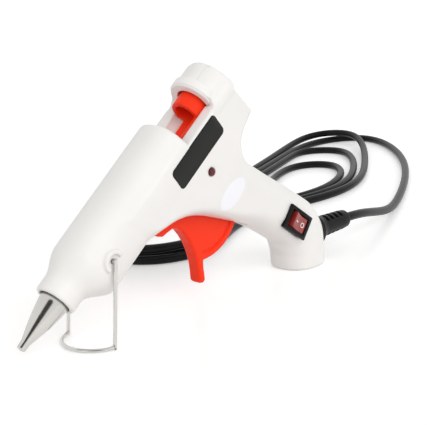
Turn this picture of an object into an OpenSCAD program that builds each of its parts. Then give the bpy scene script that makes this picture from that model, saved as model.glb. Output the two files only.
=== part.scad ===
// Mini hot glue gun for 7 mm sticks, standing on its wire foot and on the end of its handle.
// World frame: floor at z = 0, nozzle towards -X, label and switch side towards -Y, millimetres.
// Gun frame: X runs rearward along the stick axis from the nozzle tip, Z is square to it.

/* [Node] */
// Which node to draw, or all

/* [Stance] */
// Angle of the barrel above the floor
barrel_pitch = 38.5; // [36:0.5:41]
// Height of the nozzle tip above the floor
tip_height = 7; // [5:0.5:10]
// Floor distance from the nozzle tip to the middle of the foot
foot_reach = 148; // [144:0.5:152]

/* [Shell] */
// Wall thickness of the shell halves
wall = 2.2; // [1.8:0.1:2.6]
// Width of the barrel
barrel_w = 25; // [24:0.5:27]
// Height of the barrel's top above the stick axis
barrel_top = 10.5; // [10:0.25:12]
// Depth of the barrel's underside below the stick axis
barrel_bottom = 15.9; // [15:0.1:17]
// Radius of the nose
nose_r = 8; // [7.6:0.1:9]
// Front face of the nose behind the nozzle tip
nose_x = 21; // [20:0.5:22]
// Start of the shoulder that widens the nose to the barrel
shoulder_x = 26.5; // [25:0.5:28]
// Length of that shoulder
shoulder_len = 11.5; // [9:0.5:14]
// Width of the body above the trigger
body_w = 24.3; // [23.6:0.1:25]
// Width of the handle
handle_w = 22.3; // [21:0.1:24]
// Radius of the handle's foot where it meets the floor
foot_r = 10.2; // [9:0.1:11]
// Radius of the swelling above the foot
heel_r = 11.3; // [10.5:0.1:12]

/* [Stick way] */
// Front of the stick window
window_x = 97.3; // [95:0.1:99]
// Front of the rear collar
collar_x = 117; // [115:0.1:118]
// Length of the collar
collar_l = 13.5; // [12:0.1:15]
// Radius of the collar's flange
flange_r = 10.9; // [10:0.1:11.5]
// Radius of the collar's tube
collar_r = 9.4; // [8.8:0.1:9.8]
// Radius of the hole the stick goes in by
inlet_r = 3.9; // [3.7:0.05:4.2]
// Radius of the trough below the window
trough_r = 6.6; // [6.5:0.05:6.8]
// Radius of the stick carriage
carriage_r = 6.2; // [6:0.05:6.3]

/* [Nozzle and heater] */
// Radius of the nozzle's tip
tip_r = 1.5; // [1.2:0.1:2]
// Radius of the nozzle's base
cone_r = 5.7; // [5:0.1:6]
// Radius of the melt chamber
chamber_r = 5.8; // [5.4:0.1:6]
// Radius of the chamber's bore
melt_r = 3.6; // [3.5:0.05:3.8]

/* [Trigger] */
// Thickness of the trigger
trigger_t = 6; // [5:0.1:6.4]
// Thickness of the rim along the trigger's fan
rim_t = 6.8; // [6.2:0.1:7]
// Width of the slot the trigger works in
slot_w = 7.8; // [7.6:0.1:8.4]
// Radius of the trigger pin
pin_r = 1.5; // [1.2:0.1:1.8]
// Squeeze of the trigger in degrees
squeeze = 28; // [20:1:28]

/* [Wire stand] */
// Radius of the wire
wire_r = 0.75; // [0.6:0.05:0.9]
// Half the distance between the two legs
stand_half = 13.6; // [13.5:0.1:15]
// Floor distance from the nozzle tip to the stand's feet
stand_reach = 31.3; // [28:0.1:34]
// How far the foot bar bows forward
stand_bow = 10; // [6:0.5:12]

/* [Switch] */
// Length of the switch bezel along the handle
bezel_l = 15; // [14:0.1:16]
// Width of the switch bezel
bezel_w = 10.5; // [10:0.1:11]
// Tilt of the rocker from level
rocker_tilt = 11; // [8:0.5:13]

/* [Cord] */
// Radius of the cord
cord_r = 2.05; // [1.8:0.05:2.2]
// Height of the strain relief above the floor
relief_z = 12.8; // [12:0.1:14]
// Length of the strain relief outside the handle
relief_l = 22.5; // [20:0.5:30]

/* [Hidden] */
$fn = 48;
e_side = 2.3;
origin_x = (foot_reach + heel_r - tip_r * sin(barrel_pitch)) / 2;
collar_end = collar_x + collar_l;
split = 0.02;
ledge_z = -0.3;
ledge_t = 1.8;
pivot = [84, -17];
arm_r = 9.5;
head_r = 1.6;
head_x = pivot[0] + arm_r * sin(squeeze / 2);
head_z = pivot[1] + arm_r * cos(squeeze / 2);
slot_gap = 0.3;
fan_c = [89.4, -29.4];
fan_r = 22;
switch_at = [116.6, -72];
switch_turn = 75.4;
rocker_y = -8.6;
lamp_at = [98.2, -17.2];
stand_hole = [43.2, -2];
screw_at = [[74, -9.8], [106, -21], [110.5, -56], [113, -88]];
relief_x = foot_reach + heel_r - 0.02;
wire_lead_r = 0.7;

// Blending between two values, with soft ends
function ease(t) = let (c = min(1, max(0, t))) c * c * (3 - 2 * c);
function mix(a, b, t) = a + (b - a) * t;
function bulge(v, e) = sign(v) * pow(abs(v), 2 / e);

// Floor place (distance from the tip, height) in the gun frame
function g(dx, z) = [
    dx * cos(barrel_pitch) + (z - tip_height) * sin(barrel_pitch),
    (z - tip_height) * cos(barrel_pitch) - dx * sin(barrel_pitch)];

// Gun place (x, y, z) in the world frame
function w(p) = [
    p[0] * cos(barrel_pitch) - p[2] * sin(barrel_pitch) - origin_x,
    p[1],
    p[0] * sin(barrel_pitch) + p[2] * cos(barrel_pitch) + tip_height];

module stand_up() {
    translate([-origin_x, 0, tip_height])
        rotate([0, -barrel_pitch, 0])
            children();
}

module along_x(x) {
    translate([x, 0, 0])
        rotate([0, 90, 0])
            children();
}

module side_plate(t) {
    rotate([90, 0, 0])
        linear_extrude(height = t, center = true)
            children();
}

module across(p, y0, y1, r) {
    translate([p[0], y0, p[1]])
        rotate([-90, 0, 0])
            cylinder(h = y1 - y0, r = r);
}

// Tube swept along points, one ring of sides at each of them; d0 and d1 square its two ends
function unit(v) = v / norm(v);
function way(p, i, d0, d1) = i == 0 && d0 != undef ? unit(d0)
    : i == len(p) - 1 && d1 != undef ? unit(d1)
    : unit(p[min(i + 1, len(p) - 1)] - p[max(i - 1, 0)]);
function ring(c, t, ref, r, n) =
    let (a = unit(cross(t, ref)), b = cross(t, a))
    [for (k = [0 : n - 1]) c + r * (cos(360 * k / n) * a + sin(360 * k / n) * b)];

module tube(p, r, n, ref, d0 = undef, d1 = undef) {
    m = len(p);
    pts = [for (i = [0 : m - 1]) each ring(p[i], way(p, i, d0, d1), ref, r, n)];
    sides = [for (i = [0 : m - 2], k = [0 : n - 1])
        [i * n + k, i * n + (k + 1) % n, (i + 1) * n + (k + 1) % n, (i + 1) * n + k]];
    ends = [[for (k = [n - 1 : -1 : 0]) k], [for (k = [0 : n - 1]) (m - 1) * n + k]];
    polyhedron(pts, concat(sides, ends));
}

// Smooth line through hand-chosen points
function spline(a, b, c, d, t) = 0.5 * (2 * b + (c - a) * t + (2 * a - 5 * b + 4 * c - d) * t * t
    + (3 * b - a - 3 * c + d) * t * t * t);
function line(p, m) = let (n = len(p)) concat(
    [for (i = [0 : n - 2], k = [0 : m - 1])
        spline(p[max(i - 1, 0)], p[i], p[i + 1], p[min(i + 2, n - 1)], k / m)],
    [p[n - 1]]);

// Barrel section at x: height of top, depth of underside, half width, roundness
function barrel_at(x) =
    let (t = ease((x - shoulder_x) / shoulder_len), u = ease((x - 82) / 28))
    [mix(nose_r, barrel_top, t), mix(nose_r, barrel_bottom, t),
        mix(nose_r, mix(barrel_w, body_w - 0.5, u) / 2, t), mix(2, e_side, t)];

// Closed skin over rings that all have the same number of points
module skin(rings) {
    n = len(rings[0]);
    m = len(rings);
    pts = [for (r = rings) each r];
    sides = [for (i = [0 : m - 2], k = [0 : n - 1]) each [
        [i * n + k, (i + 1) * n + k, (i + 1) * n + (k + 1) % n],
        [i * n + k, (i + 1) * n + (k + 1) % n, i * n + (k + 1) % n]]];
    ends = [[for (k = [0 : n - 1]) k], [for (k = [n - 1 : -1 : 0]) (m - 1) * n + k]];
    polyhedron(pts, concat(sides, ends));
}

function barrel_ring(x, inset) =
    let (s = barrel_at(x), hh = (s[0] + s[1]) / 2 - inset, hw = s[2] - inset, zc = (s[0] - s[1]) / 2)
    [for (i = [0 : 35]) [x, hw * bulge(cos(i * 10 + 5), s[3]), zc + hh * bulge(sin(i * 10 + 5), s[3])]];

module barrel_form(xs, inset) {
    skin([for (x = xs) barrel_ring(x, inset)]);
}

// Body and handle: front edge, rear edge and half width of each slice
function foot_slice(z, r) = [g(foot_reach - r, z), g(foot_reach + r, z), r];
body_h = body_w / 2;
hand_h = handle_w / 2;
grip = [
    [[56, ledge_z + 0.6], [collar_end - 0.8, ledge_z + 0.6], body_h - 0.1],
    [[58, -8], [collar_end + 0.8, -8], body_h],
    [[62, -14], [collar_end + 2.1, -14], body_h],
    [[68, -17], [collar_end + 2.7, -18.4], body_h],
    [[74, -19.8], [127, -20.8], body_h],
    [[80, -24.2], [121.5, -22.2], body_h],
    [[86, -31], [117.8, -26], body_h - 0.2],
    [[92, -40.5], [117.8, -33], mix(body_h, hand_h, 0.4)],
    [[97.5, -50], [120.5, -42], mix(body_h, hand_h, 0.65)],
    [[102, -58.5], [124, -52.5], mix(body_h, hand_h, 0.85)],
    [[105, -66.5], [127, -61], hand_h],
    [[107.5, -74.5], [130, -70.5], hand_h],
    [[108.8, -80], [132.2, -79.5], hand_h],
    [g(foot_reach - heel_r, 7.3), g(foot_reach + heel_r - 1, 18), hand_h],
    [g(foot_reach - heel_r + 0.2, 4), g(foot_reach + heel_r, 8), heel_r - 0.2],
    foot_slice(1, foot_r + 0.6),
    foot_slice(0, foot_r)];
last = len(grip) - 1;

function inset_slice(s, d) = let (v = unit(s[1] - s[0])) [s[0] + d * v, s[1] - d * v, s[2] - d];
grip_in = concat(
    [inset_slice([[56.5, ledge_z - ledge_t], [collar_end - 0.4, ledge_z - ledge_t], body_h], wall)],
    [for (i = [1 : last - 2]) inset_slice(grip[i], wall)],
    [inset_slice(foot_slice(wall, foot_r + 0.8), wall)]);

function grip_ring(s) =
    let (v = s[1] - s[0], l = norm(v), d = v / l, af = min(11, l / 2), ar = min(10, l / 2))
    [for (i = [0 : 35])
        let (a = 85 - i * 10, c = bulge(cos(a), e_side), q = cos(a) < 0 ? af + af * c : l - ar + ar * c)
        [s[0][0] + q * d[0], s[2] * bulge(sin(a), e_side), s[0][1] + q * d[1]]];

module grip_form(list) {
    skin([for (s = list) grip_ring(s)]);
}

module outer_form() {
    barrel_form([nose_x, shoulder_x, 29, 31, 33, 35, 37, 39, 82, window_x, 112], 0);
    grip_form(grip);
}

module inner_form() {
    barrel_form([30.5, 33, 35, 37, 39, 82, window_x], wall);
    grip_form(grip_in);
}

// Form half way through the wall, which the inside pieces reach into
module middle_form() {
    barrel_form([nose_x + 1, shoulder_x, 29, 31, 33, 35, 37, 39, 82, window_x, 112], wall / 2);
    grip_form([for (i = [0 : last]) i < last ? inset_slice(grip[i], wall / 2)
        : inset_slice(foot_slice(wall / 2, foot_r + 0.8), wall / 2)]);
}

// Envelope of the collar, a little larger than it
module collar_room(d) {
    along_x(collar_x - 0.1)
        cylinder(h = 4.2, r = flange_r + d);
    along_x(collar_x)
        cylinder(h = 20, r = collar_r + d);
}

module heater_room() {
    along_x(28)
        cylinder(h = 31, r = chamber_r + 0.1);
    translate([32, -4.6, -10.6])
        cube([28, 9.2, 10]);
}

// Ribs, bosses and trough inside the shells
module shell_inside() {
    for (x = [36, 51.5])
        translate([x, -16, -22])
            cube([1.6, 32, 40]);
    translate([66, -16, -22])
        cube([1.6, 32, 40]);
    intersection() {
        along_x(window_x)
            cylinder(h = collar_x - window_x, r = trough_r + 1.8);
        translate([window_x, -20, -20])
            cube([40, 40, 20 + ledge_z]);
    }
    intersection() {
        union() {
            along_x(collar_x - 1.8)
                cylinder(h = 7.7, r = flange_r + 1.7);
            along_x(collar_x)
                cylinder(h = 12.2, r = collar_r + 1.7);
        }
        translate([window_x, -20, -20])
            cube([60, 40, 20 + ledge_z]);
    }
    for (p = screw_at, side = [-1, 1])
        hull() {
            across(p, side < 0 ? -14 : 13.5, side < 0 ? -13.5 : 14, 3);
            across(p, side < 0 ? -1 : 0, side < 0 ? 0 : 1, 2.6);
        }
    across(pivot, -14, -slot_w / 2, 3.6);
    across(pivot, 7.2, 14, 3.6);
    translate([switch_at[0], 0, switch_at[1]])
        rotate([0, switch_turn, 0])
            translate([-bezel_l / 2, -11.19, -bezel_w / 2])
                cube([bezel_l, 4, bezel_w]);
}

// Raised rib round each stand hole; its front end stops the leg
module stand_rib(side) {
    intersection() {
        difference() {
            across(stand_hole, side < 0 ? -stand_half - 0.3 : 10.5,
                side < 0 ? -10.5 : stand_half + 0.3, 4.6);
            across(stand_hole, -20, 20, 2.9);
        }
        rotate([90, 0, 0])
            translate([0, 0, -20])
                linear_extrude(height = 40)
                    polygon([stand_hole, stand_hole + [9, -1], stand_hole + [9, 9], stand_hole + [-9, 9],
                        stand_hole + [-9, -1.7], stand_hole + [-2, -1]]);
    }
}

module shell_cuts() {
    along_x(nose_x - 1)
        cylinder(h = 10, r = 6.3);
    heater_room();
    along_x(56)
        cylinder(h = 42, r = 6.8);
    along_x(60 - 0.5)
        cylinder(h = 3.5, r = 7.6);
    translate([window_x, -20, ledge_z])
        cube([60, 40, 30]);
    along_x(window_x - 1)
        cylinder(h = collar_x - window_x + 2.3, r = trough_r);
    collar_room(0.12);
    rotate([90, 0, 0])
        translate([0, 0, -slot_w / 2])
            linear_extrude(height = slot_w)
                polygon([[64.5, -12.6], [64.5, -40], [85, -62], [99.5, -58], [104.5, -54.5], [103, -44],
                    [95, -32], [90.5, -12.6]]);
    across(pivot, -8.7, 10.2, pin_r + 0.06);
    for (p = screw_at) {
        across(p, -8.2, 0.1, 1.35);
        across(p, -0.1, 14, 1.5);
        across(p, 7, 20, 2.2);
    }
    across(stand_hole, -20, 20, wire_r + 0.2);
    across(lamp_at, -20, -7, 1.75);
    translate([switch_at[0], 0, switch_at[1]])
        rotate([0, switch_turn, 0])
            translate([-6.7, -20, -4.7])
                cube([13.4, 19, 9.4]);
    translate([65, 7.1, -6.2])
        cube([4, 2.9, 7]);
    rotate([0, barrel_pitch, 0])
        translate([foot_reach - 2, 0, relief_z - tip_height])
            rotate([0, 90, 0])
                cylinder(h = 30, r = 4.3);
}

module shell_half(side, $fn = 32) {
    stand_up()
        difference() {
            union() {
                difference() {
                    outer_form();
                    inner_form();
                }
                intersection() {
                    middle_form();
                    shell_inside();
                }
                stand_rib(side);
            }
            shell_cuts();
            translate([-10, side < 0 ? -split / 2 : -60 + split / 2, -150])
                cube([200, 60, 250]);
        }
}

module left_shell() {
    color("#F4F1EC") shell_half(-1);
}

module right_shell() {
    color("#F4F1EC") shell_half(1);
}

// White collar round the stick inlet, held between the shells
module rear_collar() {
    color("#F4F1EC") stand_up()
        rotate([0, 90, 0])
            rotate_extrude($fn = 96)
                polygon([[7.2, collar_x], [flange_r - 0.9, collar_x], [flange_r, collar_x + 0.9],
                    [flange_r, collar_x + 4], [collar_r, collar_x + 4], [collar_r, collar_end - 0.6],
                    [collar_r - 0.6, collar_end], [6.4, collar_end], [inlet_r, collar_end - 1.6],
                    [inlet_r, collar_end - 4.6], [7.2, collar_end - 4.6]]);
}

module nozzle() {
    color("#C9C6C0") stand_up()
        rotate([0, 90, 0])
            rotate_extrude($fn = 96)
                polygon([[0.8, 0], [tip_r, 0], [tip_r + 0.25, 0.4], [tip_r + 0.35, 3], [cone_r, 19.2],
                    [cone_r, 21.6], [5.1, 21.6], [5.1, 30], [3.95, 30], [3.95, 24], [2, 20], [0.8, 5]]);
}

module nozzle_seal() {
    color("#B5483A") stand_up()
        rotate([0, 90, 0])
            rotate_extrude($fn = 96)
                polygon([[5.15, 24], [6.2, 24], [6.2, 29.9], [5.15, 29.9]]);
}

module melt_chamber() {
    color("#B9BCC0") stand_up()
        difference() {
            union() {
                along_x(24.3)
                    cylinder(h = 7, r = 3.9);
                along_x(30.2)
                    cylinder(h = 27.8, r = chamber_r);
                along_x(57)
                    cylinder(h = 7, r = 4.8);
                translate([33, -4.5, -10.5])
                    cube([22, 9, 8]);
            }
            along_x(24)
                cylinder(h = 8, r = 1.2);
            along_x(31)
                cylinder(h = 34, r = melt_r);
            translate([32.5, -3.7, -9.7])
                cube([23, 7.4, 3.5]);
        }
}

module ptc_heater() {
    color("#6E6A66") stand_up()
        translate([35, -3, -8.75])
            cube([18, 6, 1.6]);
}

module heater_electrodes() {
    color("#C58A4A") stand_up()
        for (z = [-7.15, -9.15]) {
            translate([34.5, -3, z])
                cube([21.5, 6, 0.4]);
            translate([55.8, -1.2, z])
                cube([2.2, 4.6, 0.4]);
        }
}

module heater_film() {
    color("#B9772C") stand_up()
        difference() {
            translate([34, -3.65, -9.65])
                cube([20.5, 7.3, 3.4]);
            translate([33, -3.2, -9.2])
                cube([23, 6.4, 2.5]);
        }
}

module inlet_sleeve() {
    color("#D8D4CC") stand_up()
        rotate([0, 90, 0])
            rotate_extrude($fn = 72)
                polygon([[4.85, 58.2], [6.6, 58.2], [6.6, 74.5], [5.6, 76], [4.6, 76], [3.75, 74.5],
                    [3.75, 64.2], [4.85, 64.2]]);
}

module sleeve_clip() {
    color("#9DA0A4") stand_up()
        along_x(60)
            difference() {
                cylinder(h = 2.5, r = 7.2);
                translate([0, 0, -1])
                    cylinder(h = 5, r = 6.65);
                translate([-9, -0.8, -1])
                    cube([4, 1.6, 5]);
            }
}

// Pusher that grips the stick: ring behind, half-pipe cradle in front, slotted lug below
module stick_carriage() {
    color("#FF4A24") stand_up()
        difference() {
            union() {
                along_x(111)
                    cylinder(h = 12.5, r = carriage_r);
                intersection() {
                    along_x(82)
                        cylinder(h = 30, r = carriage_r);
                    translate([80, -8, -8])
                        cube([40, 16, 7]);
                }
                translate([head_x - head_r - slot_gap - 1.8, -2.5, -9.8])
                    cube([2 * (head_r + slot_gap + 1.8), 5, 5]);
            }
            along_x(80)
                cylinder(h = 50, r = 4.2);
            translate([head_x - head_r - slot_gap, -5, -12])
                cube([2 * (head_r + slot_gap), 10, 6.6]);
            translate([100.2, -2.6, -8])
                cube([2.8, 5.2, 5]);
        }
}

module stick_gripper() {
    color("#AEB1B5") stand_up()
        side_plate(5)
            polygon([[100.25, -6.1], [102.95, -6.1], [102.95, -5.5], [101.5, -5.4], [102, -4.3],
                [101.5, -4.1],
                [100.7, -5.4], [100.25, -5.5]]);
}

// Finger lever, fan and drive arm, turning on the pin
module trigger() {
    fan = [for (a = [308 : -8 : 252]) fan_c + fan_r * [cos(a - 16), sin(a - 16)]];
    color("#FF4A24") stand_up()
        difference() {
            union() {
                side_plate(trigger_t)
                    polygon(concat([[66.8, -18], [67.6, -21.4], [69, -23.2], [71.6, -24], [74.4, -25],
                        [76, -26.8], [76.7, -29.6], [76.6, -33], [76, -37.2], [74.7, -41.4], [72.8, -45.4],
                        [70.5, -48.9], [68.4, -51.7], [68.5, -53], [69.6, -54.1], [71, -54], [72.1, -52.6],
                        [73.8, -50], [75.8, -47.5]], [for (i = [len(fan) - 1 : -1 : 0]) fan[i]],
                        [[99.6, -47.5], [97, -38], [92.6, -26], [88.4, -16], [84, -13], [79.6, -15],
                        [70, -15], [67.2, -16.4]]));
                intersection() {
                    side_plate(rim_t)
                        difference() {
                            translate(fan_c)
                                circle(r = fan_r, $fn = 96);
                            translate(fan_c)
                                circle(r = fan_r - 2.4, $fn = 96);
                        }
                    side_plate(rim_t + 1)
                        polygon([[76.5, -47], [99.3, -48], [99.3, -60], [76.5, -60]]);
                }
                across(pivot, -trigger_t / 2, trigger_t / 2, 4.2);
                translate([pivot[0], 0, pivot[1]])
                    rotate([0, squeeze / 2, 0])
                        translate([-1, -2.5, 0])
                            cube([2, 5, arm_r]);
                across([head_x, head_z], -2.5, 2.5, head_r);
            }
            across(pivot, -8, 8, pin_r + 0.05);
        }
}

module trigger_pin() {
    color("#A7AAAE") stand_up()
        across(pivot, -8.6, 10.1, pin_r);
}

module return_spring() {
    turns = 3;
    c = [pivot[0], 0, pivot[1]];
    coil = [for (i = [0 : 12 * turns])
        c + [2.45 * cos(30 * i), 4.1 + 2.4 * i / (12 * turns), 2.45 * sin(30 * i)]];
    pts = concat([c + [2.45, 4.1, -7]], [c + [2.45, 4.1, -3.5]], [c + [2.45, 4.1, -1.4]], coil,
        [c + [2.45, 6.5, 1.4], c + [2.45, 6.5, 3.5], c + [2.45, 6.5, 7]]);
    color("#8F9296") stand_up()
        tube(pts, 0.35, 6, [0, 1, 0]);
}

// Bent wire foot: pins in the barrel, two legs and a bowed bar on the floor
module wire_stand() {
    top = w([stand_hole[0], 0, stand_hole[1]]);
    fx = stand_reach - origin_x;
    br = (stand_half * stand_half + stand_bow * stand_bow) / (2 * stand_bow);
    half_a = asin(stand_half / br);
    cx = fx - stand_bow + br;
    leg = unit([fx - top[0], 0, wire_r - top[2]]);
    arc = [for (k = [0 : 12])
        let (a = 180 + half_a * (1 - k / 6))
        [cx + br * cos(a), -br * sin(a), wire_r]];
    foot = [fx, -stand_half, wire_r];
    near = [top + [0, -9.4, 0], top + [0, 1 - stand_half, 0], top + [0, 0.3 - stand_half, 0] + leg * 0.3,
        top + [0, -stand_half, 0] + leg, foot - leg * 2, foot - leg * 0.5 + (arc[11] - arc[12]) * 0.1];
    far = [for (i = [len(near) - 1 : -1 : 0]) [near[i][0], -near[i][1], near[i][2]]];
    bar = [for (k = [11 : -1 : 1]) arc[k]];
    color("#D5D3CE")
        tube(concat(near, bar, far), wire_r, 10, [1, 0, -1]);
}

module switch_frame() {
    stand_up()
        translate([switch_at[0], 0, switch_at[1]])
            rotate([0, switch_turn, 0])
                children();
}

module switch_body() {
    color("#1B1B1C") switch_frame()
        difference() {
            union() {
                translate([-bezel_l / 2, -12.4, -bezel_w / 2])
                    cube([bezel_l, 1.2, bezel_w]);
                translate([-6.5, -12, -4.5])
                    cube([13, 10.5, 9]);
            }
            translate([-5.8, -13, -3.7])
                cube([11.6, 9.6, 7.4]);
            translate([0, rocker_y, -4.2])
                cylinder(h = 8.4, r = 1.05);
        }
}

// Rest is the off position: the end towards the foot is pressed in
module switch_rocker() {
    color("#9A3530") switch_frame()
        translate([0, rocker_y, 0])
            rotate([0, 0, rocker_tilt])
                union() {
                    translate([0, 0, -3.4])
                        linear_extrude(height = 6.8)
                            polygon([[-4.9, -4.4], [-2.5, -3.8], [0, -3.5], [2.5, -3.8], [4.9, -4.4],
                                [4.5, -1],
                                [2, 1.6], [-2, 1.6], [-4.5, -1]]);
                    translate([0, 0, -4.1])
                        cylinder(h = 8.2, r = 1);
                }
}

module switch_terminals() {
    color("#C58A4A") switch_frame()
        for (x = [-3.5, 3.5])
            translate([x - 0.4, -1.5, -1.5])
                cube([0.8, 6, 3]);
}

module pilot_lamp() {
    color("#5A1420") stand_up()
        translate([lamp_at[0], 0, lamp_at[1]])
            rotate([90, 0, 0])
                rotate_extrude($fn = 48)
                    polygon([[0, 6.5], [1.6, 6.5], [1.6, 12.2], [1.45, 12.6], [1, 12.9], [0, 13]]);
}

module lamp_resistor() {
    color("#9C8F6A") stand_up()
        union() {
            across(lamp_at, -5.6, 0.4, 1.1);
            across(lamp_at, -6.5, 4, 0.3);
        }
}

// Leads inside the handle and body, all on the far side of the trigger
handle_way = [-cos(switch_turn), 0, sin(switch_turn)];
relief_way = [-cos(barrel_pitch), 0, sin(barrel_pitch)];
relief_in = g(foot_reach + 3.9, relief_z);
function tab(x, y) = [switch_at[0], y, switch_at[1]] - x * handle_way;

// Distance of a lead's middle inside the shell's outer side, in the body and in the handle
function in_body(d) = body_h - d;
function in_hand(d) = hand_h - d;
function between(a, b, t, y) = [mix(a[0], b[0], t), y, mix(a[2], b[2], t)];

module live_wire() {
    a = [relief_in[0], -1.8, relief_in[1]];
    b = a + 1.8 * relief_way;
    t = tab(5.7, 2.6);
    p = [a, b, between(b, t, 0.38, 0.2), between(b, t, 0.75, 2), t, tab(3.9, 2.6)];
    color("#5B3A22") stand_up()
        tube(line(p, 2), wire_lead_r, 8, [0, 1, 0], relief_way, handle_way);
}

module heater_wire() {
    p = [tab(-3.9, 3.2), tab(-5.7, 3.3), [115.3, 5, -62.5], [115.8, in_hand(4.85), -58.5],
        [115, in_hand(4.65), -53.5], [113, in_hand(4.65), -48.5], [111, in_body(5.55), -44],
        [109.6, in_body(5.25), -38], [109.2, in_body(4.95), -30], [110.6, in_body(4.55), -23],
        [108.9, in_body(4.15), -17], [103, in_body(3.85), -12.8], [92, 8.4, -8.8], [81, 8.3, -4.8],
        [70, 8.2, -3.7], [63.5, 8.1, -5.2], [59.3, 7.6, -8], [57.2, 5.6, -8.95], [57, 3.4, -8.95]];
    color("#B03A2E") stand_up()
        tube(line(p, 2), wire_lead_r, 8, [1.1, 0.35, 1], handle_way, [0, -1, 0]);
}

module neutral_wire() {
    a = [relief_in[0], 1.8, relief_in[1]];
    b = a + 1.8 * relief_way;
    t = [120.8, in_hand(4.95), -74];
    p = [a, b, between(b, t, 0.18, 3.6), between(b, t, 0.53, 5.6), t, [120.2, in_hand(4.75), -66],
        [118.8, in_hand(4.75), -58.5], [117.2, in_hand(4.75), -52.5], [115.2, in_hand(4.75), -47.5],
        [113.6, in_body(5.65), -43], [112.1, in_body(5.35), -37], [111.2, in_body(5.25), -30],
        [112.7, in_body(4.75), -23], [111.3, in_body(4.15), -14.2], [103, in_body(3.75), -9.8],
        [92, 8.5, -5.8], [81, 8.4, -2], [70, 8.2, -1], [62, 8.2, -1.8], [58.2, 7.9, -4.4], [57, 5.6, -6.75],
        [57, 3.4, -6.95]];
    color("#2F5E9E") stand_up()
        tube(line(p, 2), wire_lead_r, 8, [1.1, 0.35, 1], relief_way, [0, -1, 0]);
}

// Screws driven from the far side into the near half's bosses
module shell_screws() {
    color("#A7AAAE") stand_up()
        for (p = screw_at) {
            across(p, -7.8, 7.1, 1.3);
            across(p, 7, 8.6, 2.1);
        }
}

// Moulded boot: snap groove in the wall, flared flange, tapering body with pairs of slots that let it bend
module strain_relief() {
    x0 = relief_x;
    slot_pitch = (relief_l - 9.3) / 4;
    core = cord_r + 0.6;
    prof = [[0, foot_reach + 3.9], [6, foot_reach + 3.9], [6, foot_reach + 5.7], [4.2, foot_reach + 5.7],
        [4.2, x0], [6.3, x0], [6.3, x0 + 2.4], [5.4, x0 + 3.8], [4.9, x0 + 5.8], [4.3, x0 + relief_l - 3.6],
        [3.9, x0 + relief_l - 0.6], [3.3, x0 + relief_l], [0, x0 + relief_l]];
    color("#1D1D1E")
        translate([-origin_x, 0, relief_z])
            difference() {
                rotate([0, 90, 0])
                    rotate_extrude($fn = 72)
                        polygon(prof);
                for (i = [0 : 3], side = [-1, 1])
                    translate([x0 + 6 + slot_pitch * i, -7, side < 0 ? -7 - core : core])
                        cube([slot_pitch * 0.45, 14, 7]);
            }
}

// Hank of three laps: each runs out along the upper side, round the left end, back along the lower side and
// round its own right end. A side place counts strands inwards from the outermost one.
lap_in = [1, 0, 2];
lap_out = [0, 1, 2];
strand_gap = 4.85;
upper_run = [[216, 150], [164, 129.5], [106, 112.5]];
upper_step = [2, -4.9];
lower_run = [[80, 55], [98, 64.5], [122, 69], [148, 64], [176, 60], [207, 70]];
lower_step = [[-2.5, 4.6], [-1.5, 4.8], [0, 5], [0, 5], [-1, 5.2], [-3.5, 6]];
left_end = [50, 73];
left_r = 30.5;
right_end = [[266, 147], [242, 131], [210.5, 109.5]];
right_r = [23, 18.5, 15];
// Straight run into the right end
right_in = [24, 24, 12];
// Height that a lap climbs to pass over another strand, at its left and right ends
over = 4.9;
left_climb = [0, over, 0];
right_climb = [over, 0, 0];

function polar(c, r, a) = c + r * [cos(a), sin(a)];
function up(p, h) = [p[0], p[1], cord_r + h];
function lap(k) =
    let (i = lap_in[k], o = lap_out[k], l = left_climb[k], r = right_climb[k], c = right_end[k],
        low = lower_run[5] + o * lower_step[5],
        pre = polar(c, right_r[k], -44) - right_in[k] * [cos(46), sin(46)])
    concat(
        [for (j = [0 : 2]) up(upper_run[j] + i * upper_step, l * [0, 0, 0.35][j])],
        [for (j = [0 : 5]) up(polar(left_end, left_r - strand_gap * mix(i, o, j / 5), 106 + 38 * j),
            l * [0.85, 1, 1, 1, 1, 0.8][j])],
        [for (j = [0 : 5]) up(lower_run[j] + o * lower_step[j], j == 0 ? 0.35 * l : 0)],
        [up((low + pre) / 2, 0), up(pre, 0.12 * r)],
        [for (j = [0 : 4]) up(polar(c, right_r[k], 36 * j - 44), r * [0.8, 1, 1, 0.7, 0.25][j])]);

// Lead from the strain relief down to the floor and round to the hank, under its outermost lap
lead_start = [relief_x + relief_l - origin_x, 0, relief_z];
lead = concat([lead_start, lead_start + [4.5, 0, 0], [119, 2, 11.4], [132, 6, 8.2], [146, 10.5, 4.8],
    [160, 16, 2.6]], [for (p = [[178, 25], [214, 46], [246, 69], [267, 88], [285, 108], [297, 126],
    [301, 142],
    [294, 154], [279, 160], [262, 160], [243, 155]]) up(p, 0)]);
plug_at = [152, 95.5, 5.5];
plug_way = [-1, -0.12, 0];
plug_turn = 180 + atan2(0.12, 1);
tail = [up([197, 122], 0), up([182, 115], 0), [171, 108.5, 2.5], [163.5, 101.5, 4],
    [156.5, 96.2, 5.3], plug_at];

// Whole cord: a smooth line through those points, its turns eased by averaging neighbours
function eased(p, n) = n == 0 ? p : eased([for (i = [0 : len(p) - 1])
    i == 0 || i == len(p) - 1 ? p[i] : (p[i - 1] + 2 * p[i] + p[i + 1]) / 4], n - 1);
cord = eased([for (p = line(concat(lead, lap(0), lap(1), lap(2), tail), 2))
    [p[0], p[1], max(p[2], cord_r)]], 3);
hank_from = 2 * (len(lead) - 1);
hank_way = cord[hank_from + 1] - cord[hank_from - 1];

// Least gap between strands and the cord's length, both measured on closer points
fine = line(cord, 3);
gap_list = [for (i = [0 : len(fine) - 1], j = [i + 24 : len(fine) - 1]) norm(fine[i] - fine[j])];
function run(p, i = 0, s = 0) = i >= len(p) - 1 ? s : run(p, i + 1, s + norm(p[i + 1] - p[i]));
echo(hank_least_gap = min(gap_list) - 2 * cord_r, cord_length = run(fine));

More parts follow.
